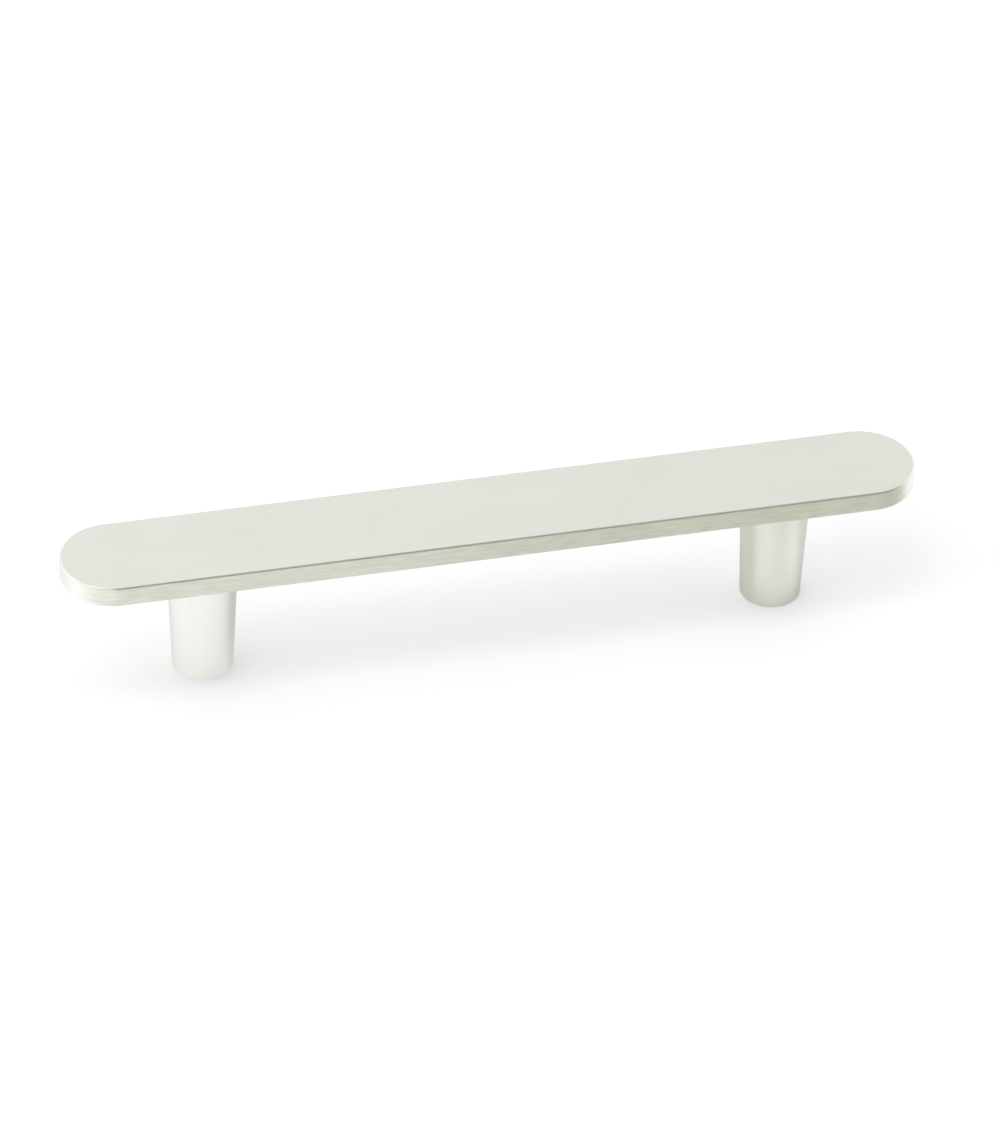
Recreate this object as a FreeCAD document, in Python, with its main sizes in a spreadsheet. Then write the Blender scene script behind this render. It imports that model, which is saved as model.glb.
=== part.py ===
import FreeCAD, Part
import math
import os
import Sketcher

# Cabinet pull: a flat bar with fully rounded ends on two turned, tapered posts.
#
# The origin is on the face that the posts stand on, midway between them.
# +X runs along the bar, +Y across it and +Z from the posts' bases up to the bar.
# Each post is screwed to the bar by a headless stud, and takes a mounting screw in its base.
# Threads are drawn as plain holes and a plain stud.

# Driving sizes, in millimetres and degrees
DRIVING_SIZES = {
    # The bar
    "bar_length": 190.0,
    "bar_width": 23.2,
    "bar_thickness": 4.8,
    "bar_edge_radius": 0.45,
    # Metal left above each blind hole in the bar's underside
    "bar_skin": 1.2,
    # The posts, measured across at the bar and at the base
    "post_spacing": 128.0,
    "post_height": 27.4,
    "post_top_diameter": 15.5,
    "post_base_diameter": 13.4,
    "post_base_edge_radius": 0.4,
    "post_top_chamfer": 0.15,
    # The tapped hole for the mounting screw, at its tapping drill's size
    "screw_hole_diameter": 3.3,
    "screw_hole_depth": 12.0,
    "screw_mouth_diameter": 4.4,
    # The joining studs, at their thread's outside diameter
    "stud_diameter": 5.0,
    "stud_length": 12.0,
    "stud_chamfer": 0.5,
    "socket_flats": 2.5,
    "socket_depth": 2.5,
    # The studs' holes: room around a stud, beyond each of its ends, and at the mouth
    "stud_clearance": 0.02,
    "stud_end_gap": 0.2,
    "stud_mouth_flare": 0.4,
    # The drill and the countersink
    "drill_point_angle": 118.0,
    "countersink_angle": 90.0,
}

# Sizes that follow from the driving ones
STUD_HOLE_DIAMETER = "(Sizes.stud_diameter + 2 * Sizes.stud_clearance)"
STUD_MOUTH_DIAMETER = f"({STUD_HOLE_DIAMETER} + 2 * Sizes.stud_mouth_flare)"
BAR_HOLE_DEPTH = "(Sizes.bar_thickness - Sizes.bar_skin)"
STUD_IN_BAR = f"({BAR_HOLE_DEPTH} - Sizes.stud_end_gap)"
POST_HOLE_DEPTH = f"(Sizes.stud_length - {STUD_IN_BAR} + Sizes.stud_end_gap)"

# How near two lengths or volumes count as the same
SAME = 1e-6

# The sides of the part that the two posts and studs stand on, along X
SIDES = {"left": -1, "right": 1}

# Ends of a line or an arc, and an arc's or circle's centre, as a sketch counts them
START, END, CENTRE = 1, 2, 3

# A sketch's own X axis, and its origin as a point of that axis
X_AXIS, ORIGIN_POINT = -1, 1

# A sketch's own upright direction
UPRIGHT = FreeCAD.Vector(0, 0, 1)

# The socket's sides, and a quarter turn in radians
HEXAGON = 6
QUARTER_TURN = math.pi / 2


def make_sheet(doc, sizes):
    """One row for each driving size: its name beside its value, which has the name as alias."""
    sheet = doc.addObject("Spreadsheet::Sheet", "Sizes")
    for row, (name, value) in enumerate(sizes.items(), start=1):
        sheet.set(f"A{row}", name)
        sheet.set(f"B{row}", str(value))
        sheet.setAlias(f"B{row}", name)
    doc.recompute()
    return sheet


def make_body(doc, label):
    body = doc.addObject("PartDesign::Body", label)
    body.Label = label
    return body


def make_sketch(body, name, plane_role, height=None):
    """A sketch on one of the body's own planes, or as far above it as height says."""
    sketch = body.newObject("Sketcher::SketchObject", name)
    plane = next(item for item in body.Origin.OriginFeatures if item.Role == plane_role)
    sketch.AttachmentSupport = [(plane, "")]
    sketch.MapMode = "FlatFace"
    if height is not None:
        sketch.setExpression("AttachmentOffset.Base.z", height)
    return sketch


def constrain(sketch, name, expression, *constraint):
    """Adds a named dimension to a sketch and binds it to the sheet."""
    index = sketch.addConstraint(Sketcher.Constraint(*constraint))
    sketch.renameConstraint(index, name)
    sketch.setExpression(f"Constraints.{name}", expression)


def level_edges(shape, height=None):
    """Names of the edges that lie level, at any height or only at the one given."""
    names = []
    for number, edge in enumerate(shape.Edges, start=1):
        box = edge.BoundBox
        if box.ZLength > SAME:
            continue
        if height is None or abs(box.ZMin - height) < SAME:
            names.append(f"Edge{number}")
    return names


def dress_edges(doc, body, kind, name, size_property, size, height=None):
    """Rounds or chamfers the level edges of the body as it stands, by a size from the sheet."""
    base = body.Tip
    dressed = body.newObject(kind, name)
    dressed.Base = (base, level_edges(base.Shape, height))
    dressed.setExpression(size_property, size)
    doc.recompute()
    return dressed


def drill(doc, body, sketch, name, upwards, diameter, depth, mouth_diameter, point):
    """A blind countersunk hole at each circle of the sketch, with a drill point or a flat end."""
    solid_before = body.Shape.Volume
    hole = body.newObject("PartDesign::Hole", name)
    hole.Profile = sketch
    doc.recompute()
    hole.Reversed = upwards
    hole.DepthType = "Dimension"
    hole.DrillPoint = point
    hole.HoleCutType = "Countersink"
    hole.setExpression("Diameter", diameter)
    hole.setExpression("Depth", depth)
    hole.setExpression("HoleCutDiameter", mouth_diameter)
    hole.setExpression("HoleCutCountersinkAngle", "Sizes.countersink_angle")
    if point == "Angled":
        hole.setExpression("DrillPointAngle", "Sizes.drill_point_angle")
    doc.recompute()
    if body.Shape.Volume > solid_before - SAME:
        raise RuntimeError(f"{name} takes nothing away from {body.Label}")
    return hole


def add_circle(sketch, x, diameter_name, diameter):
    """A circle on the sketch's X axis, with its diameter bound to the sheet."""
    first_guess = 1.0
    index = sketch.addGeometry(Part.Circle(FreeCAD.Vector(x, 0, 0), UPRIGHT, first_guess))
    constrain(sketch, diameter_name, diameter, "Diameter", index, 2 * first_guess)
    return index


def make_bar(doc, sheet):
    """A plate whose outline is two half circles joined by straight sides, all edges eased.

    Two blind flat-ended holes in its underside take the studs.
    """
    body = make_body(doc, "bar")
    outline = make_sketch(body, "bar_outline", "XY_Plane")
    radius = sheet.bar_width / 2
    reach = sheet.bar_length / 2 - radius
    left_end, right_end = [
        outline.addGeometry(
            Part.ArcOfCircle(
                Part.Circle(FreeCAD.Vector(centre, 0, 0), UPRIGHT, radius),
                middle - QUARTER_TURN,
                middle + QUARTER_TURN,
            )
        )
        for centre, middle in ((-reach, math.pi), (reach, 0))
    ]
    near_side = outline.addGeometry(
        Part.LineSegment(FreeCAD.Vector(-reach, -radius, 0), FreeCAD.Vector(reach, -radius, 0))
    )
    far_side = outline.addGeometry(
        Part.LineSegment(FreeCAD.Vector(reach, radius, 0), FreeCAD.Vector(-reach, radius, 0))
    )
    for first, first_end, second, second_end in (
        (left_end, END, near_side, START),
        (near_side, END, right_end, START),
        (right_end, END, far_side, START),
        (far_side, END, left_end, START),
    ):
        outline.addConstraint(
            Sketcher.Constraint("Tangent", first, first_end, second, second_end)
        )
    outline.addConstraint(Sketcher.Constraint("Equal", left_end, right_end))
    outline.addConstraint(
        Sketcher.Constraint("Symmetric", left_end, CENTRE, right_end, CENTRE, X_AXIS, ORIGIN_POINT)
    )
    outline.addConstraint(Sketcher.Constraint("PointOnObject", left_end, CENTRE, X_AXIS))
    constrain(outline, "end_radius", "Sizes.bar_width / 2", "Radius", left_end, radius)
    constrain(
        outline, "centres_apart", "Sizes.bar_length - Sizes.bar_width",
        "DistanceX", left_end, CENTRE, right_end, CENTRE, 2 * reach,
    )

    plate = body.newObject("PartDesign::Pad", "bar_plate")
    plate.Profile = outline
    plate.setExpression("Length", "Sizes.bar_thickness")
    doc.recompute()
    dress_edges(doc, body, "PartDesign::Fillet", "bar_eased_edges", "Radius", "Sizes.bar_edge_radius")

    holes = make_sketch(body, "bar_hole_centres", "XY_Plane")
    left_hole = add_circle(holes, -sheet.post_spacing / 2, "left_diameter", STUD_HOLE_DIAMETER)
    right_hole = add_circle(holes, sheet.post_spacing / 2, "right_diameter", STUD_HOLE_DIAMETER)
    holes.addConstraint(
        Sketcher.Constraint("Symmetric", left_hole, CENTRE, right_hole, CENTRE, X_AXIS, ORIGIN_POINT)
    )
    holes.addConstraint(Sketcher.Constraint("PointOnObject", left_hole, CENTRE, X_AXIS))
    constrain(
        holes, "holes_apart", "Sizes.post_spacing",
        "DistanceX", left_hole, CENTRE, right_hole, CENTRE, sheet.post_spacing,
    )
    drill(
        doc, body, holes, "bar_stud_holes", True,
        STUD_HOLE_DIAMETER, BAR_HOLE_DEPTH, STUD_MOUTH_DIAMETER, "Flat",
    )
    body.setExpression("Placement.Base.z", "Sizes.post_height")
    return body


def make_post(doc, sheet, side):
    """A straight cone, wider at the bar, turned about its own axis.

    Its base has the mounting screw's hole and its top the stud's hole.
    """
    body = make_body(doc, f"post_{side}")
    profile = make_sketch(body, f"post_{side}_profile", "XZ_Plane")
    base_radius = sheet.post_base_diameter / 2
    top_radius = sheet.post_top_diameter / 2
    corners = [
        FreeCAD.Vector(0, 0, 0),
        FreeCAD.Vector(base_radius, 0, 0),
        FreeCAD.Vector(top_radius, sheet.post_height, 0),
        FreeCAD.Vector(0, sheet.post_height, 0),
    ]
    count = len(corners)
    base, flank, top, axis = [
        profile.addGeometry(Part.LineSegment(corners[i], corners[(i + 1) % count]))
        for i in range(count)
    ]
    for first, second in ((base, flank), (flank, top), (top, axis), (axis, base)):
        profile.addConstraint(Sketcher.Constraint("Coincident", first, END, second, START))
    profile.addConstraint(Sketcher.Constraint("Coincident", base, START, X_AXIS, ORIGIN_POINT))
    profile.addConstraint(Sketcher.Constraint("Horizontal", base))
    profile.addConstraint(Sketcher.Constraint("Horizontal", top))
    profile.addConstraint(Sketcher.Constraint("Vertical", axis))
    constrain(
        profile, "base_radius", "Sizes.post_base_diameter / 2",
        "DistanceX", base, START, base, END, base_radius,
    )
    constrain(
        profile, "top_radius", "Sizes.post_top_diameter / 2",
        "DistanceX", top, END, top, START, top_radius,
    )
    constrain(
        profile, "height", "Sizes.post_height",
        "DistanceY", axis, END, axis, START, sheet.post_height,
    )

    cone = body.newObject("PartDesign::Revolution", f"post_{side}_cone")
    cone.Profile = profile
    cone.ReferenceAxis = (profile, ["V_Axis"])
    doc.recompute()
    dress_edges(
        doc, body, "PartDesign::Fillet", f"post_{side}_base_edge",
        "Radius", "Sizes.post_base_edge_radius", height=0,
    )
    dress_edges(
        doc, body, "PartDesign::Chamfer", f"post_{side}_top_edge",
        "Size", "Sizes.post_top_chamfer", height=sheet.post_height,
    )

    screw_centre = make_sketch(body, f"post_{side}_screw_centre", "XY_Plane")
    screw_circle = add_circle(screw_centre, 0, "diameter", "Sizes.screw_hole_diameter")
    screw_centre.addConstraint(
        Sketcher.Constraint("Coincident", screw_circle, CENTRE, X_AXIS, ORIGIN_POINT)
    )
    drill(
        doc, body, screw_centre, f"post_{side}_screw_hole", True,
        "Sizes.screw_hole_diameter", "Sizes.screw_hole_depth", "Sizes.screw_mouth_diameter", "Angled",
    )

    stud_centre = make_sketch(body, f"post_{side}_stud_centre", "XY_Plane", "Sizes.post_height")
    stud_circle = add_circle(stud_centre, 0, "diameter", STUD_HOLE_DIAMETER)
    stud_centre.addConstraint(
        Sketcher.Constraint("Coincident", stud_circle, CENTRE, X_AXIS, ORIGIN_POINT)
    )
    drill(
        doc, body, stud_centre, f"post_{side}_stud_hole", False,
        STUD_HOLE_DIAMETER, POST_HOLE_DEPTH, STUD_MOUTH_DIAMETER, "Angled",
    )
    body.setExpression("Placement.Base.x", f"{SIDES[side]} * Sizes.post_spacing / 2")
    return body


def make_stud(doc, side):
    """A headless set screw with chamfered ends and a hexagon socket in its upper end."""
    body = make_body(doc, f"joining_stud_{side}")
    shank = body.newObject("PartDesign::AdditiveCylinder", f"stud_{side}_shank")
    shank.setExpression("Radius", "Sizes.stud_diameter / 2")
    shank.setExpression("Height", "Sizes.stud_length")
    doc.recompute()
    dress_edges(doc, body, "PartDesign::Chamfer", f"stud_{side}_ends", "Size", "Sizes.stud_chamfer")

    solid_before = body.Shape.Volume
    plane = next(item for item in body.Origin.OriginFeatures if item.Role == "XY_Plane")
    socket = body.newObject("PartDesign::SubtractivePrism", f"stud_{side}_socket")
    socket.AttachmentSupport = [(plane, "")]
    socket.MapMode = "FlatFace"
    socket.Polygon = HEXAGON
    socket.setExpression("Circumradius", f"Sizes.socket_flats / 2 / cos(180 / {HEXAGON})")
    socket.setExpression("Height", "Sizes.socket_depth")
    socket.setExpression("AttachmentOffset.Base.z", "Sizes.stud_length - Sizes.socket_depth")
    doc.recompute()
    if body.Shape.Volume > solid_before - SAME:
        raise RuntimeError(f"the socket takes nothing away from {body.Label}")

    body.setExpression("Placement.Base.x", f"{SIDES[side]} * Sizes.post_spacing / 2")
    body.setExpression("Placement.Base.z", f"Sizes.post_height + {STUD_IN_BAR} - Sizes.stud_length")
    return body


def make_stud_group(doc):
    """The two identical studs as one group of separate solids."""
    group = doc.addObject("Part::Compound", "joining_studs")
    group.Label = "joining_studs"
    group.Links = [make_stud(doc, side) for side in SIDES]
    return group


def check_model(doc, pieces):
    """Stops before anything is written if a feature failed or a piece isn't a valid solid."""
    for item in doc.Objects:
        if "Invalid" in item.State or "Error" in item.State:
            raise RuntimeError(f"{item.Name} failed: {item.State}")
    for piece in pieces:
        if piece.Shape.isNull() or not piece.Shape.isValid() or not piece.Shape.Solids:
            raise RuntimeError(f"{piece.Label} has no valid solid")


def main():
    doc = FreeCAD.newDocument("cabinet_pull")
    sheet = make_sheet(doc, DRIVING_SIZES)
    pieces = [make_bar(doc, sheet)]
    pieces += [make_post(doc, sheet, side) for side in SIDES]
    pieces += [make_stud_group(doc)]
    doc.recompute()
    check_model(doc, pieces)

    os.makedirs("parts", exist_ok=True)
    for piece in pieces:
        piece.Shape.exportStep(f"parts/{piece.Label}.step")
        print(f"{piece.Label}: {len(piece.Shape.Solids)} solid(s), {piece.Shape.Volume:.1f} mm3")


main()
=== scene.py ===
"""A cabinet pull in satin brushed nickel: a flat bar with rounded ends on two turned, tapered posts.

Every surface is a grid of points worked out as whole arrays. Lengths are in metres and angles in
radians, and the part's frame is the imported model's: X along the bar, Z up from the posts' bases.
"""
import math

import bpy
import numpy as np
from mathutils import Matrix, Vector


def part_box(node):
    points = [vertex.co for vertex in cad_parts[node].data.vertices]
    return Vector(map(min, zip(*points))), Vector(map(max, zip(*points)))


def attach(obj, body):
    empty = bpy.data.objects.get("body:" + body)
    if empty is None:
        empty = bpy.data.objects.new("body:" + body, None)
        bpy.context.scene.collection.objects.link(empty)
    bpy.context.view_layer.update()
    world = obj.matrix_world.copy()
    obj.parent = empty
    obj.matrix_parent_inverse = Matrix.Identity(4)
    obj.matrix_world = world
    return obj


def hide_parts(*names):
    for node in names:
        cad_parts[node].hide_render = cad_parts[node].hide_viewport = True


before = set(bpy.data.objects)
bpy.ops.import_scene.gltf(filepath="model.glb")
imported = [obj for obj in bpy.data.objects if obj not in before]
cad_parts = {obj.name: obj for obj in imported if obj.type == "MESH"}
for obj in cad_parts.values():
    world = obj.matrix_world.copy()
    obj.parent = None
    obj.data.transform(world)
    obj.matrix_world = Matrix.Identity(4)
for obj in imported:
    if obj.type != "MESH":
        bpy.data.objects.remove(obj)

MM = 0.001
TURN = 2 * math.pi
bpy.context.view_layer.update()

# The bar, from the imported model, and its eased edge
BAR_LOW, BAR_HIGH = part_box("bar")
BAR_HALF_WIDTH = BAR_HIGH.y
BAR_REACH = BAR_HIGH.x - BAR_HALF_WIDTH
BAR_EDGE = 0.45 * MM

# The posts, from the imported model, and what is turned on them
POSTS = {side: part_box(f"post_{side}") for side in ("left", "right")}
POST_X = {side: (low.x + high.x) / 2 for side, (low, high) in POSTS.items()}
POST_TOP = POSTS["left"][1].z
POST_TOP_RADIUS = 7.75 * MM
POST_BASE_RADIUS = 6.7 * MM
POST_BASE_EDGE = 0.4 * MM
POST_TOP_CHAMFER = 0.15 * MM
POST_SLOPE = math.atan((POST_TOP_RADIUS - POST_BASE_RADIUS) / POST_TOP)

# The studs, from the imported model, and their shape
STUD_LOW, STUD_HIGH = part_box("joining_studs")
STUD_CHAMFER = 0.5 * MM
STUD_RADIUS = 2.47 * MM
STUD_ROOT_RADIUS = 2.05 * MM
SOCKET_HALF_FLATS = 1.25 * MM
SOCKET_DEPTH = 2.5 * MM

# Tapped holes: inside and outside radius of the thread, its pitch, the mouth's radius, and how far in
# the thread may reach, which for the studs is past the bottom of either hole
SCREW_HOLE = {
    "inner": 1.65 * MM, "outer": 2.0 * MM, "pitch": 0.7 * MM, "mouth": 2.2 * MM, "length": 10 * MM,
}
STUD_HOLE = {
    "inner": 2.1 * MM, "outer": 2.52 * MM, "pitch": 0.8 * MM, "mouth": 2.92 * MM, "length": 20 * MM,
}
SCREW_HOLE_DEPTH = 12.0 * MM
BAR_HOLE_DEPTH = 3.6 * MM
POST_HOLE_DEPTH = 8.8 * MM
DRILL_HALF_ANGLE = math.radians(59)

# A thread's flats, as shares of its flanks' full height
THREAD_ROOT_FLAT = 0.25
THREAD_CREST_FLAT = 0.125

# Finishes: the metals' colours, how much of the light they keep at grazing angles, their roughness
# before streaks, and how far the gloss is drawn out. That is across the grain, a quarter of a turn.
BAR_NICKEL = (0.88, 0.895, 0.82)
POST_NICKEL = (0.818, 0.838, 0.772)
STEEL = (0.36, 0.36, 0.37)
BAR_GRAZING = 0.9
POST_GRAZING = 0.78
STUD_GRAZING = 0.9
BAR_ROUGHNESS = 0.35
POST_ROUGHNESS = 0.26
STUD_ROUGHNESS = 0.35
NICKEL_ANISOTROPY = 0.9
STUD_ANISOTROPY = 0.5
ACROSS = 0.25

# Brushing: how strongly it shows, how deep its grooves are, and the noise for its streaks, as their
# length, their width and the layers of detail
BAR_BRUSHING = 1.0
POST_BRUSHING = 0.15
STUD_BRUSHING = 0.5
GROOVE_DEPTH = 0.003 * MM
FINE_STREAKS = (4.5 * MM, 0.22 * MM, 3)
BROAD_STREAKS = (22 * MM, 1.3 * MM, 2)
CLOUDS = (22 * MM, 22 * MM, 2)
PATCHES = (5.5 * MM, 0.7 * MM, 4)

# Where nearly all noise lies, and how far it moves the tone and the roughness either way
NOISE_LOW, NOISE_HIGH = 0.3, 0.7
FINE_TONE = 0.03
BROAD_TONE = 0.008
PATCH_TONE = 0.07
FINE_GLOSS = 0.03
CLOUD_GLOSS = 0.012

# The bar's edge: how squarely it faces forwards or back where the coarser brushing begins and where it
# is full, what that does to colour, partly the brushing's own and partly painted shade, and to
# roughness, and how smooth the eased edge is and how much painted shade darkens it along the sides
ENDS_FINE = 0.55
SIDES_COARSE = 0.92
# Partly the coarser brushing's own colour, partly painted shade for the darker, warmer surroundings
# the sides reflect
COARSE_TINT_AND_SHADE = (0.945, 0.955, 0.885)
COARSE_ROUGHER = 0.1
EDGE_WEAR = 0.18
# Painted shade on the eased edge along the sides, standing in for its dark reflection
EASED_SHADE = 0.2

# How finely the surfaces are divided
END_STEPS = 64
SIDE_STEPS = 48
CUT_STEPS = 8
FLANK_STEPS = 6
EDGE_STEPS = 8
LATHE_STEPS = 120
THREAD_ROWS = 12
ANGLES = np.linspace(0, TURN, LATHE_STEPS + 1)

# How near an edge its supporting row lies, how near two points are one, and how far a surface turns
# at a sharp edge
SUPPORT = 0.05 * MM
WELD = 1e-7
SHARP_ANGLE = math.radians(32)

# What a piece's finish follows, besides its grain, and where the bar's painted shade goes
MARKS = ("eased", "coarse_and_shaded")


def weld(name, grids):
    """One mesh from grids of points. Neighbours make faces, and points at one place are one point.

    A grid is its points, how far each lies along and across the grain, and the marks that its
    finish follows. A face that has closed to a line or a point is left out, and at a pole it is
    a triangle.
    """
    points, grain, marks = (
        np.concatenate([part.reshape(-1, part.shape[-1]) for part in parts]) for parts in zip(*grids)
    )
    corners = []
    start = 0
    for place, _, _ in grids:
        rows, columns = place.shape[:2]
        index = start + np.arange(rows * columns).reshape(rows, columns)
        around = [index[:-1, :-1], index[1:, :-1], index[1:, 1:], index[:-1, 1:]]
        corners.append(np.stack(around, axis=-1).reshape(-1, 4))
        start += rows * columns
    corners = np.concatenate(corners)
    _, first, place = np.unique(
        np.round(points / WELD).astype(np.int64), axis=0, return_index=True, return_inverse=True
    )
    place = place.ravel()
    keep = place[corners] != np.roll(place[corners], 1, axis=1)
    whole = keep.sum(axis=1) > 2
    corners, keep = corners[whole], keep[whole]
    loops = corners[keep]
    sizes = keep.sum(axis=1)

    mesh = bpy.data.meshes.new(name)
    mesh.vertices.add(len(first))
    mesh.vertices.foreach_set("co", points[first].astype(np.float32).ravel())
    mesh.loops.add(len(loops))
    mesh.loops.foreach_set("vertex_index", place[loops].astype(np.int32))
    mesh.polygons.add(len(sizes))
    mesh.polygons.foreach_set("loop_start", (np.cumsum(sizes) - sizes).astype(np.int32))
    mesh.update(calc_edges=True)
    mesh.uv_layers.new(name="grain").data.foreach_set("uv", grain[loops].astype(np.float32).ravel())
    for column, mark in enumerate(MARKS):
        values = np.ascontiguousarray(marks[first, column], dtype=np.float32)
        mesh.attributes.new(mark, "FLOAT", "POINT").data.foreach_set("value", values)
    mesh.shade_smooth()
    mesh.set_sharp_from_angle(angle=SHARP_ANGLE)
    return mesh


def make_piece(name, grids, material, slot, *nodes):
    """A finished piece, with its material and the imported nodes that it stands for."""
    piece = bpy.data.objects.new(name, weld(name, grids))
    bpy.context.scene.collection.objects.link(piece)
    piece.data.materials.append(material)
    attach(piece, "root")
    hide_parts(*nodes)
    return piece


def with_marks(points, grain, eased=0.0, coarse_and_shaded=0.0):
    """A grid with its marks: how eased each point is, and how coarsely brushed, where painted shade
    also goes.
    """
    marks = [np.broadcast_to(mark, points.shape[:2]) for mark in (eased, coarse_and_shaded)]
    return points, grain, np.stack(marks, axis=-1)


def as_rows(*values):
    """The values as a column, so that each is one row of a grid."""
    return np.concatenate([np.atleast_1d(v) for v in values]).astype(float)[:, None]


# The bar


def half_outline():
    """The right half's outline, from the middle of the front round to the middle of the back.

    It is given as points of the bar's spine and the outward direction at each. On a side the
    points lie where evenly turned rays from the stud hole's axis cross it. Round the end the
    spine's point stays, and the direction turns evenly by half a circle.
    """
    hole = POST_X["right"]
    first = math.atan2(BAR_HALF_WIDTH, -hole)
    last = math.atan2(BAR_HALF_WIDTH, BAR_REACH - hole)
    side = hole + BAR_HALF_WIDTH / np.tan(np.linspace(first, last, SIDE_STEPS + 1))
    bend = np.linspace(-math.pi / 2, math.pi / 2, END_STEPS + 1)
    spine = np.concatenate([side[:-1], np.full(END_STEPS + 1, BAR_REACH), side[-2::-1]])
    heading = np.concatenate([np.full(SIDE_STEPS, bend[0]), bend, np.full(SIDE_STEPS, bend[-1])])
    return spine, np.cos(heading), np.sin(heading)


def outline():
    """The whole outline: the right half, and the same turned by half a circle about Z."""
    return [np.concatenate([part[:-1], -part]) for part in half_outline()]


def bar_grid(out, height, eased=0.0, flat=True):
    """Rows of the bar's surface, each the outline drawn at one distance out and one height.

    On the flat faces the grain runs along X. On the edges it follows the outline. They are marked as
    brushed coarsely along the straight sides and finely round the ends, by how far the outline faces
    forwards or back, and the same mark places painted shade along the sides.
    """
    spine, cosine, sine = outline()
    x, y, z = np.broadcast_arrays(spine + out * cosine, out * sine, height + 0 * spine)
    points = np.stack([x, y, z], axis=-1)
    if flat:
        grain = points[..., :2]
    else:
        rim_x, rim_y = spine + BAR_HALF_WIDTH * cosine, BAR_HALF_WIDTH * sine
        along = np.concatenate([[0], np.cumsum(np.hypot(np.diff(rim_x), np.diff(rim_y)))])
        steps = np.hypot(np.diff(out, axis=0), np.diff(height, axis=0))
        across = np.concatenate([[[0]], np.cumsum(steps, axis=0)])
        grain = np.stack(np.broadcast_arrays(along, across), axis=-1)
    squarely = (np.abs(sine) - ENDS_FINE) / (SIDES_COARSE - ENDS_FINE)
    return with_marks(points, grain, eased, 0.0 if flat else np.clip(squarely, 0, 1))


def underside_grids(half_turn):
    """Half of the underside with its stud hole, for the right half or, at -1, the left one.

    Its rows go in from the outline, closed by the cut at the bar's middle, to the hole's mouth.
    There each point lies in the same direction from the hole's axis as on the outline.
    """
    hole, under = POST_X["right"], BAR_LOW.z
    spine, cosine, sine = half_outline()
    flat_out = BAR_HALF_WIDTH - BAR_EDGE
    cut = np.linspace(1, -1, CUT_STEPS + 1) * (flat_out - SUPPORT)
    rows = []
    for out in (flat_out, flat_out - SUPPORT):
        x = np.concatenate([spine + out * cosine, 0 * cut, [0]])
        y = np.concatenate([out * sine, cut, [-out]])
        rows.append((x, y))
    angles = np.unwrap(np.arctan2(rows[-1][1], rows[-1][0] - hole))
    for radius in (STUD_HOLE["mouth"] + SUPPORT, STUD_HOLE["mouth"]):
        rows.append((hole + radius * np.cos(angles), radius * np.sin(angles)))
    flat = half_turn * np.array(rows).transpose(0, 2, 1)
    points = np.concatenate([flat, np.full(flat.shape[:2] + (1,), under)], axis=-1)
    angles = angles + (0 if half_turn > 0 else math.pi)
    return [
        with_marks(points, flat),
        tapped_hole(half_turn * hole, under, 1, BAR_HOLE_DEPTH, 0, STUD_HOLE, angles),
    ]


def bar_grids():
    """The bar: its top, the band of edges and side round it, and its underside.

    Each eased edge is a quarter circle between the flat face and the side.
    """
    top, under = BAR_HIGH.z, BAR_LOW.z
    flat_out = BAR_HALF_WIDTH - BAR_EDGE
    quarter = np.linspace(0, math.pi / 2, EDGE_STEPS + 1)
    face = as_rows(0, flat_out / 2, flat_out - SUPPORT, flat_out)
    edge_out = flat_out + BAR_EDGE * np.sin(quarter)
    edge_drop = BAR_EDGE * (1 - np.cos(quarter))
    side_drop = np.array([BAR_EDGE + SUPPORT, (top - under) / 2, top - under - BAR_EDGE - SUPPORT])
    side_out = np.full(3, BAR_HALF_WIDTH)
    out = as_rows(edge_out, side_out, edge_out[::-1])
    drop = as_rows(edge_drop, side_drop, (top - under) - edge_drop[::-1])
    worn = np.sin(2 * quarter)
    return [
        bar_grid(face, as_rows(np.full(4, top))),
        bar_grid(out, top - drop, as_rows(worn, np.zeros(3), worn), flat=False),
        *underside_grids(1),
        *underside_grids(-1),
    ]


# Turned pieces


def turned(centre, radius, height, angles=ANGLES, eased=0.0):
    """Points round an upright axis, each row at its own radius and height. The grain runs round."""
    radius, height, _ = np.broadcast_arrays(radius, height, angles)
    points = np.stack([centre + radius * np.cos(angles), radius * np.sin(angles), height], axis=-1)
    steps = np.hypot(np.diff(radius, axis=0), np.diff(height, axis=0)).mean(axis=1)
    across = np.concatenate([[0], np.cumsum(steps)])[:, None]
    grain = np.stack(np.broadcast_arrays(angles * POST_TOP_RADIUS, across), axis=-1)
    return with_marks(points, grain, eased)


def thread_wave(height, pitch, angles=ANGLES):
    """How far a right-handed thread stands out at each height and angle, from root 0 to crest 1.

    It is a wave of one rise and fall for each pitch of height, moved on by one pitch each turn,
    with its tops and bottoms cut flat.
    """
    turns = (height / pitch - angles / TURN) % 1
    wave = 1 - np.abs(2 * turns - 1)
    return np.clip((wave - THREAD_ROOT_FLAT) / (1 - THREAD_ROOT_FLAT - THREAD_CREST_FLAT), 0, 1)


def tapped_hole(centre, mouth, inward, depth, point, hole, angles=ANGLES):
    """A tapped hole's wall and its drill point, from its lowest row to its highest.

    The wall is the thread's inner radius plus its wave, which dies out in one pitch past the
    thread's length, or the countersink where that is wider: the mouth's radius less the distance
    from the mouth. Inward is 1 for a hole that goes up and -1 for one that goes down.
    """
    down = as_rows(np.arange(0, depth, hole["pitch"] / THREAD_ROWS), depth)
    height = mouth + inward * down
    fade = np.clip((hole["length"] - down) / hole["pitch"], 0, 1)
    ridge = (hole["outer"] - hole["inner"]) * thread_wave(height, hole["pitch"], angles)
    wall = np.maximum(hole["inner"] + ridge * fade, hole["mouth"] - down)
    radius = np.concatenate([wall, np.zeros((1, len(angles)))])
    height = np.concatenate([height, [[mouth + inward * (depth + point)]]])
    return turned(centre, radius[::inward], height[::inward], angles)


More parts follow.
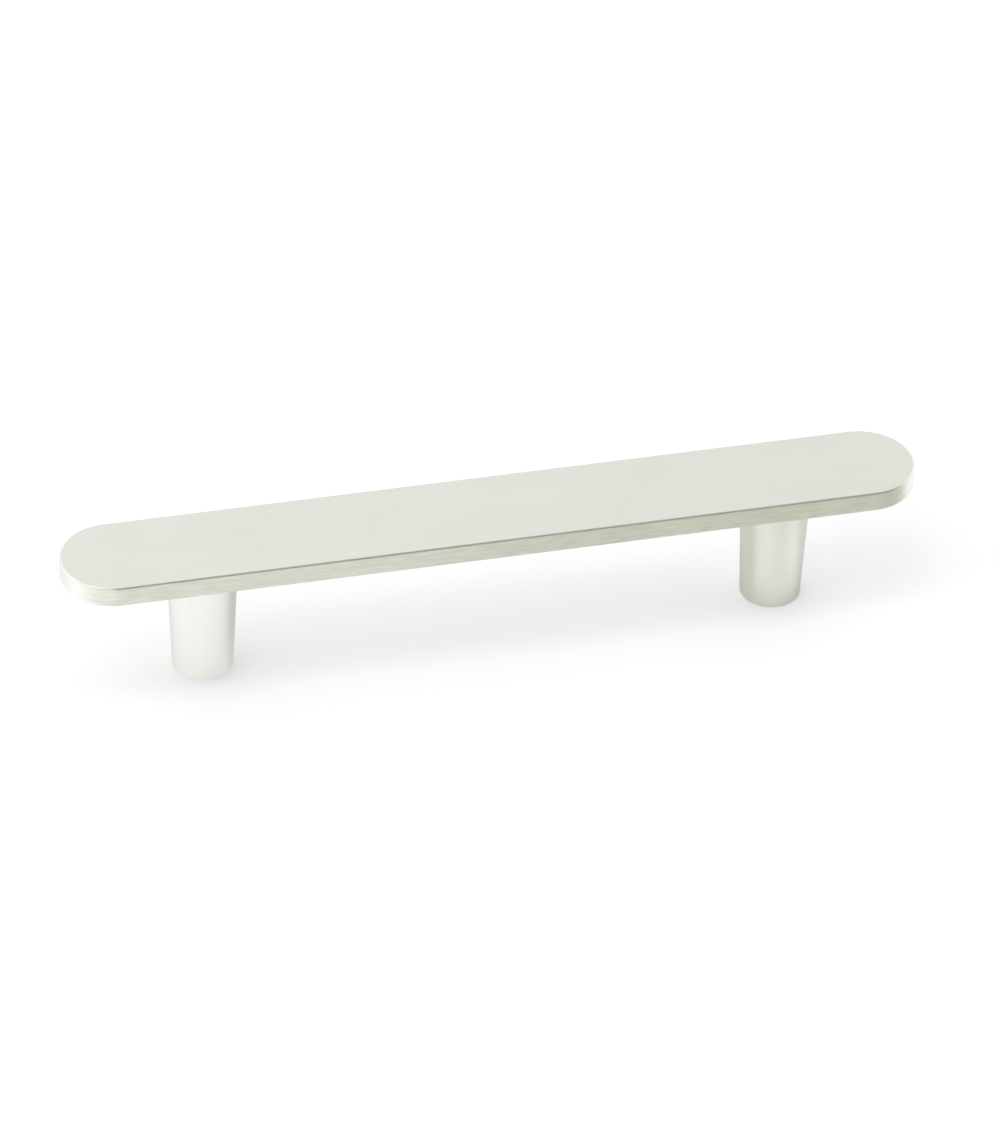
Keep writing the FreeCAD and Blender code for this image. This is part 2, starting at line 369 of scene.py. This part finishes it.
def post_outside(centre):
    """A post from its stud hole's mouth to its screw hole's mouth.

    The flank is a straight cone with a chamfer at the bar. At the base it turns in on an arc that
    touches both the cone and the base.
    """
    slope = math.tan(POST_SLOPE)
    edge_centre = POST_BASE_RADIUS + POST_BASE_EDGE * slope - POST_BASE_EDGE / math.cos(POST_SLOPE)
    turn_in = np.linspace(-POST_SLOPE, -math.pi / 2, EDGE_STEPS + 1)
    edge_radius = edge_centre + POST_BASE_EDGE * np.cos(turn_in)
    edge_height = POST_BASE_EDGE * (1 + np.sin(turn_in))
    flank_top = POST_TOP - POST_TOP_CHAMFER
    flank_height = np.linspace(flank_top, edge_height[0], FLANK_STEPS + 1)[:-1]
    flank_height = np.concatenate([flank_height[:1], flank_height[:1] - SUPPORT, flank_height[1:]])
    flank_height = np.append(flank_height, edge_height[0] + SUPPORT)
    flank_radius = POST_BASE_RADIUS + flank_height * slope
    height = as_rows(POST_TOP, POST_TOP, flank_height, edge_height, 0, 0)
    radius = as_rows(
        STUD_HOLE["mouth"], POST_TOP_RADIUS - POST_TOP_CHAMFER, flank_radius,
        edge_radius, edge_radius[-1] - SUPPORT, SCREW_HOLE["mouth"],
    )
    worn = np.sin(np.linspace(0, math.pi, EDGE_STEPS + 1))
    eased = as_rows(0, 0, np.zeros(len(flank_height)), worn, 0, 0)
    return turned(centre, radius, height, eased=eased)


def post_grids(side):
    """A post: its stud hole from the drill point up, its outside, and its screw hole."""
    centre = POST_X[side]
    stud_point, screw_point = (
        hole["inner"] / math.tan(DRILL_HALF_ANGLE) for hole in (STUD_HOLE, SCREW_HOLE)
    )
    return [
        tapped_hole(centre, POST_TOP, -1, POST_HOLE_DEPTH, stud_point, STUD_HOLE),
        post_outside(centre),
        tapped_hole(centre, 0, 1, SCREW_HOLE_DEPTH, screw_point, SCREW_HOLE),
    ]


def stud_grids(centre):
    """A headless set screw: a hexagon socket, a threaded shank and chamfered ends.

    The socket's wall is as far out as half its flats divided by the cosine of the angle from the
    middle of the nearest flat. The shank is the thread's root plus its wave, within the chamfers.
    """
    sixth = TURN / 6
    hexagon = SOCKET_HALF_FLATS / np.cos(ANGLES % sixth - sixth / 2)
    none = np.zeros(len(ANGLES))
    low, high = STUD_LOW.z, STUD_HIGH.z
    floor = high - SOCKET_DEPTH
    height = as_rows(np.arange(high, low, -STUD_HOLE["pitch"] / THREAD_ROWS), low)
    ridge = (STUD_RADIUS - STUD_ROOT_RADIUS) * thread_wave(height, STUD_HOLE["pitch"])
    end_radius = STUD_RADIUS - STUD_CHAMFER
    chamfer = end_radius + np.minimum(high - height, height - low)
    shank = np.minimum(STUD_ROOT_RADIUS + ridge, chamfer)
    return [
        turned(centre, np.stack([none, hexagon, hexagon]), as_rows(floor, floor, high)),
        turned(centre, np.stack([hexagon, none + end_radius]), as_rows(high, high)),
        turned(centre, shank, height),
        turned(centre, as_rows(end_radius, 0), as_rows(low, low)),
    ]


# Finishes


def fill(tree, sockets, values):
    """Links each value to its socket, or sets it there where it is a plain number or colour."""
    for socket, value in zip(sockets, values):
        if isinstance(value, bpy.types.NodeSocket):
            tree.links.new(value, socket)
        else:
            socket.default_value = value


def add_node(tree, kind, settings=None, **inputs):
    """A shader node with its settings and its named inputs."""
    node = tree.nodes.new(f"ShaderNode{kind}")
    for name, value in (settings or {}).items():
        setattr(node, name, value)
    fill(tree, [node.inputs[name.replace("_", " ")] for name in inputs], inputs.values())
    return node


def combine(tree, operation, *values):
    """Numbers joined by one sum, or a single one changed by it."""
    node = add_node(tree, "Math", {"operation": operation})
    fill(tree, node.inputs, values)
    return node.outputs["Value"]


def combine_colours(tree, operation, *values):
    """Colours joined by one sum. A number stands for a colour with three equal parts."""
    node = add_node(tree, "VectorMath", {"operation": operation})
    fill(tree, node.inputs, values)
    return node.outputs["Vector"]


def mixed(tree, share, first, second):
    """A blend of two colours: all of the first at a share of 0, and all of the second at 1."""
    node = add_node(tree, "Mix", {"data_type": "VECTOR"})
    fill(tree, [node.inputs[0], *node.inputs[4:6]], (share, first, second))
    return node.outputs[1]


def soft_step(tree, value, start, end, before=0.0, after=1.0):
    """A number that changes softly from before to after, while the value goes from start to end."""
    node = add_node(
        tree, "MapRange", {"interpolation_type": "SMOOTHSTEP"}, Value=value,
        From_Min=start, From_Max=end, To_Min=before, To_Max=after,
    )
    return node.outputs["Result"]


def graded(tree, value, ends):
    """A soft change from one colour to another between two places."""
    (low, first), (high, second) = ends
    return mixed(tree, soft_step(tree, value, low, high), first, second)


def patch_share(tree, offsets, halves, soft):
    """How much of a soft-edged rectangle lies at a place: 1 within, 0 outside, and between at its rim.

    The offsets say how far the place is from the rectangle's middle, one way and the other.
    """
    shares = []
    for offset, half in zip(offsets, halves):
        away = combine(tree, "ABSOLUTE", offset)
        shares.append(soft_step(tree, away, half - soft, half + soft, 1.0, 0.0))
    return combine(tree, "MULTIPLY", *shares)


def streaks(tree, grain, length, width, detail):
    """Noise drawn out along the grain, in streaks of about that length and width."""
    stretch = (1 / length, 1 / length, 1 / width)
    stretched = add_node(tree, "Mapping", Vector=grain, Scale=stretch)
    noise = add_node(tree, "TexNoise", Vector=stretched.outputs["Vector"], Scale=1.0, Detail=detail)
    return noise.outputs["Fac"]


def spread(tree, noise, middle, reach):
    """Noise moved to a middle value, and spread by its reach either way."""
    node = add_node(
        tree, "MapRange", Value=noise, From_Min=NOISE_LOW, From_Max=NOISE_HIGH,
        To_Min=middle - reach, To_Max=middle + reach,
    )
    return node.outputs["Result"]


def grain_coordinates(tree):
    """Where a point lies along X and Y, and how far across the grain of its surface.

    Along a groove only the first two change, slowly, so noise on these coordinates makes streaks
    that have no seam, on the flat faces, round the bar's edge and round a post alike.
    """
    place = add_node(tree, "SeparateXYZ", Vector=add_node(tree, "TexCoord").outputs["Object"])
    grain = add_node(tree, "UVMap", {"uv_map": "grain"}).outputs["UV"]
    across = add_node(tree, "SeparateXYZ", Vector=grain).outputs["Y"]
    both = add_node(tree, "CombineXYZ", X=place.outputs["X"], Y=place.outputs["Y"], Z=across)
    return both.outputs["Vector"]


def brushed_metal(name, colour, grazing, roughness, anisotropy, brushing):
    """Metal brushed along its grain: fine and broad streaks in tone, gloss and height.

    Brushing is how strongly the streaks show. The bar's edge is brushed more coarsely than its
    faces, so it is rougher and patchy, and its colour is darker and warmer, partly from that brushing
    and partly painted shade for the surroundings that its sides reflect. Where it is eased the
    brushing has worn smoother, and along the sides painted shade darkens the eased edge further,
    standing in for its dark reflection. The gloss is drawn out across the grooves, for which the
    tangent follows the grain's own direction.
    """
    material = bpy.data.materials.new(name)
    material.use_nodes = True
    tree = material.node_tree
    shader = tree.nodes["Principled BSDF"]
    grain = grain_coordinates(tree)
    fine, broad, clouds, patches = (
        streaks(tree, grain, *shape) for shape in (FINE_STREAKS, BROAD_STREAKS, CLOUDS, PATCHES)
    )
    eased, coarse_and_shaded = (
        add_node(tree, "Attribute", {"attribute_name": mark}).outputs["Fac"] for mark in MARKS
    )
    plain = combine(tree, "SUBTRACT", 1.0, eased)

    fine_tone = spread(tree, fine, 1.0, FINE_TONE * brushing)
    broad_tone = spread(tree, broad, 1.0, BROAD_TONE * brushing)
    # Painted shade: the eased edge along the sides is darkened, standing in for its dark reflection
    shade = combine(tree, "MULTIPLY", combine(tree, "MULTIPLY", eased, coarse_and_shaded), EASED_SHADE)
    even = combine(tree, "SUBTRACT", broad_tone, shade)
    patchy = combine(tree, "MULTIPLY", coarse_and_shaded, plain)
    uneven = combine(tree, "MULTIPLY", patchy, spread(tree, patches, 0.0, PATCH_TONE))
    tone = combine(tree, "ADD", combine(tree, "MULTIPLY", fine_tone, even), uneven)
    # Partly the coarser brushing's own colour and partly painted shade
    coarse_and_shaded_colour = [part * share for part, share in zip(colour, COARSE_TINT_AND_SHADE)]
    tinted = combine_colours(tree, "MULTIPLY", mixed(tree, coarse_and_shaded, colour, coarse_and_shaded_colour), tone)

    streaky = spread(tree, fine, roughness, FINE_GLOSS * brushing)
    cloudy = combine(tree, "ADD", streaky, spread(tree, clouds, 0.0, CLOUD_GLOSS))
    coarser = combine(tree, "MULTIPLY", coarse_and_shaded, COARSE_ROUGHER)
    worn = combine(tree, "MULTIPLY", eased, -EDGE_WEAR)
    rough = combine(tree, "ADD", cloudy, combine(tree, "ADD", coarser, worn))

    bump = add_node(tree, "Bump", Height=fine, Strength=plain, Distance=GROOVE_DEPTH * brushing)
    along = add_node(tree, "Tangent", {"direction_type": "UV_MAP", "uv_map": "grain"})
    inputs = {
        "Base Color": tinted,
        "Roughness": rough,
        "Normal": bump.outputs["Normal"],
        "Tangent": along.outputs["Tangent"],
        "Metallic": 1.0,
        "Specular Tint": (grazing, grazing, grazing, 1),
        "Anisotropic": anisotropy,
        "Anisotropic Rotation": ACROSS,
    }
    fill(tree, [shader.inputs[socket] for socket in inputs], inputs.values())
    return material


# The studio

# The light all round, and what each panel adds to it, or takes from it as a black screen does. A
# panel is its middle's azimuth, from -Y towards +X, and elevation, half its width and height, and
# half its rim, in degrees.
STUDIO_LEVEL = (1.062, 1.057, 1.075)
PANELS = [
    # All of the left side
    (((-65, 38), (87, 50), 12), (0.05, 0.04, 0.04)),
    # The main light, high on the left
    (((-65, 71), (27, 17), 8), (1.1, 1.1, 1.1)),
    # A screen opposite to it
    (((122, 71), (41, 26), 8), (-0.22, -0.22, -0.25)),
    # The right side
    (((84, 42), (22, 52), 8), (0.05, 0.04, 0.07)),
    # The black screen in front, which the near edge reflects
    (((30, 33), (39, 49), 12), (-0.68, -0.68, -0.68)),
    # A lower one to its left
    (((-34, 12), (15, 34), 6), (-0.42, -0.42, -0.42)),
]

# The floor: its paint, how much whiter the camera sees it, graded along Y, where the extra in front is
# painted light that thins the shadow there, and how much brighter the metal shows it, graded along X,
# which is painted light, brighter towards the left where the light comes from
FLOOR_HALF = 2.0
FLOOR_DROP = 0.01 * MM
FLOOR_PAINT = (0.85, 0.85, 0.85, 1)
# Painted light: in front of the part the camera sees the floor whiter still, thinning the shadow there
FLOOR_LIFT = [(-0.016, (0.295, 0.295, 0.3)), (-0.002, (0.23, 0.23, 0.235))]
# Painted light that only the metal shows, brighter towards the left
FLOOR_SHEEN = [(-0.06, (0.41, 0.4, 0.43)), (0.085, (0.045, 0.055, 0.01))]

# Spots of painted light and painted shade on the floor that only the metal shows: a spot's middle,
# half its size along X and Y, and half its rim, and then how much it brightens or darkens the floor
# there
PAINTED_FLOOR_SPOTS = [
    # Painted shade far off to the left, and behind
    (((-0.4, 0.0), (0.18, 0.4), 0.05), (-0.25, -0.25, -0.2)),
    (((-0.05, 0.2), (0.13, 0.17), 0.03), (-0.2, -0.2, -0.2)),
    # Painted light for the left end, and painted shade in front of it
    (((-0.142, -0.018), (0.028, 0.024), 0.005), (0.12, 0.12, 0.15)),
    (((-0.098, -0.054), (0.012, 0.012), 0.005), (-0.07, -0.07, -0.06)),
    # Painted shade under the bar, which the two posts' inner sides reflect
    (((-0.013, 0.02), (0.039, 0.03), 0.008), (-0.24, -0.23, -0.24)),
    # Painted light in front of the right post, and to the right of it
    (((0.066, -0.022), (0.03, 0.014), 0.006), (0.16, 0.16, 0.17)),
    (((0.09, 0.005), (0.016, 0.03), 0.006), (0.14, 0.14, 0.16)),
    # Painted light for the right end, and painted shade in front of it
    (((0.165, 0.04), (0.04, 0.05), 0.004), (0.44, 0.44, 0.6)),
    (((0.135, -0.07), (0.03, 0.055), 0.008), (-0.14, -0.14, -0.13)),
]


def panel_share(tree, azimuth, elevation, panel):
    """How much of a panel lies in each direction. It is measured the shorter way round, and up."""
    middle, halves, soft = (np.radians(measure).tolist() for measure in panel)
    round_about = combine(tree, "SUBTRACT", azimuth, middle[0])
    offsets = (
        combine(tree, "WRAP", round_about, math.pi, -math.pi),
        combine(tree, "SUBTRACT", elevation, middle[1]),
    )
    return patch_share(tree, offsets, halves, soft)


def painted_spot_share(tree, place, painted_spot):
    """How much of a spot of painted light or painted shade lies at each place on the floor."""
    middle, halves, soft = painted_spot
    offsets = [
        combine(tree, "SUBTRACT", place.outputs[axis], centre) for axis, centre in zip("XY", middle)
    ]
    return patch_share(tree, offsets, halves, soft)


def make_world():
    """An even level all round, the panels on top of it, and plain white where the camera looks."""
    world = bpy.data.worlds.new("studio")
    bpy.context.scene.world = world
    world.use_nodes = True
    tree = world.node_tree
    place = add_node(tree, "SeparateXYZ", Vector=add_node(tree, "TexCoord").outputs["Generated"])
    front = combine(tree, "MULTIPLY", place.outputs["Y"], -1.0)
    azimuth = combine(tree, "ARCTAN2", place.outputs["X"], front)
    elevation = combine(tree, "ARCSINE", place.outputs["Z"])
    light = STUDIO_LEVEL
    for panel, colour in PANELS:
        share = panel_share(tree, azimuth, elevation, panel)
        light = combine_colours(tree, "MULTIPLY_ADD", share, colour, light)
    seen = mixed(tree, add_node(tree, "LightPath").outputs["Is Camera Ray"], light, (1, 1, 1))
    tree.links.new(seen, tree.nodes["Background"].inputs["Color"])


def floor_paint():
    """White paint that keeps the shadow, looking white to the camera, with painted light that thins
    the shadow in front, and in the metal glowing with painted light and painted shade.
    """
    material = bpy.data.materials.new("floor_white")
    material.use_nodes = True
    tree = material.node_tree
    tree.nodes.remove(tree.nodes["Principled BSDF"])
    paint = add_node(tree, "BsdfDiffuse", Color=FLOOR_PAINT)
    place = add_node(tree, "SeparateXYZ", Vector=add_node(tree, "TexCoord").outputs["Object"])
    # The camera sees the floor whiter, and in front painted light thins the shadow
    lift = graded(tree, place.outputs["Y"], FLOOR_LIFT)
    # Painted light that only the metal shows, graded along X
    sheen = graded(tree, place.outputs["X"], FLOOR_SHEEN)
    # Spots of painted light and painted shade, seen only in the metal
    for painted_spot, colour in PAINTED_FLOOR_SPOTS:
        sheen = combine_colours(tree, "MULTIPLY_ADD", painted_spot_share(tree, place, painted_spot), colour, sheen)
    ray = add_node(tree, "LightPath")
    extra = mixed(tree, ray.outputs["Is Glossy Ray"], lift, sheen)
    seen = combine(tree, "ADD", ray.outputs["Is Camera Ray"], ray.outputs["Is Glossy Ray"])
    glow = add_node(tree, "Emission", Color=extra, Strength=seen)
    both = add_node(tree, "AddShader")
    fill(tree, both.inputs, (paint.outputs["BSDF"], glow.outputs["Emission"]))
    tree.links.new(both.outputs["Shader"], tree.nodes["Material Output"].inputs["Surface"])
    return material


def make_floor():
    """A plain square floor, just under the posts' bases."""
    mesh = bpy.data.meshes.new("floor")
    signs = [(-1, -1), (1, -1), (1, 1), (-1, 1)]
    corners = [(x * FLOOR_HALF, y * FLOOR_HALF, -FLOOR_DROP) for x, y in signs]
    mesh.from_pydata(corners, [], [(0, 1, 2, 3)])
    mesh.materials.append(floor_paint())
    floor = bpy.data.objects.new("floor", mesh)
    bpy.context.scene.collection.objects.link(floor)


# The camera: the photograph's size, where in it the part's origin lies, the lens, and how the camera
# stands
PHOTO_WIDTH, PHOTO_HEIGHT = 1000, 1125
ORIGIN_PIXEL_X, ORIGIN_PIXEL_Y = 488.6, 624.9
SENSOR = 36.0
LENS = 207.4
CAMERA_DISTANCE = 1.4243
CAMERA_YAW = math.radians(14.335)
CAMERA_PITCH = math.radians(37.878)
CAMERA_ROLL = math.radians(1.678)
NEAREST, FARTHEST = 0.01, 100.0


def make_camera():
    """A long lens, turned right by its yaw, down by its pitch and then about its own axis."""
    data = bpy.data.cameras.new("camera")
    data.lens = LENS
    data.sensor_width = SENSOR
    data.clip_start, data.clip_end = NEAREST, FARTHEST
    camera = bpy.data.objects.new("camera", data)
    bpy.context.scene.collection.objects.link(camera)
    bpy.context.scene.camera = camera
    facing = (
        Matrix.Rotation(-CAMERA_YAW, 4, "Z")
        @ Matrix.Rotation(math.pi / 2 - CAMERA_PITCH, 4, "X")
        @ Matrix.Rotation(CAMERA_ROLL, 4, "Z")
    )
    lens_pixels = LENS / SENSOR * PHOTO_HEIGHT
    origin_seen = CAMERA_DISTANCE * Vector((
        (ORIGIN_PIXEL_X - PHOTO_WIDTH / 2) / lens_pixels,
        (PHOTO_HEIGHT / 2 - ORIGIN_PIXEL_Y) / lens_pixels,
        -1,
    ))
    camera.matrix_world = Matrix.Translation(-(facing @ origin_seen)) @ facing


def main():
    """The pull in its three finishes, and the studio round it."""
    bar_nickel = brushed_metal(
        "brushed_nickel", BAR_NICKEL, BAR_GRAZING, BAR_ROUGHNESS, NICKEL_ANISOTROPY, BAR_BRUSHING
    )
    post_nickel = brushed_metal(
        "turned_nickel", POST_NICKEL, POST_GRAZING, POST_ROUGHNESS, NICKEL_ANISOTROPY, POST_BRUSHING
    )
    steel = brushed_metal(
        "stud_steel", STEEL, STUD_GRAZING, STUD_ROUGHNESS, STUD_ANISOTROPY, STUD_BRUSHING
    )
    make_piece("flat_bar", bar_grids(), bar_nickel, "satin_nickel", "bar")
    for side in POSTS:
        name = f"turned_post_{side}"
        make_piece(name, post_grids(side), post_nickel, "satin_nickel", f"post_{side}")
    both_studs = [grid for centre in POST_X.values() for grid in stud_grids(centre)]
    make_piece("threaded_studs", both_studs, steel, "stud_steel", "joining_studs")

    make_floor()
    make_world()
    make_camera()
    bpy.context.scene.view_settings.view_transform = "Standard"


main()
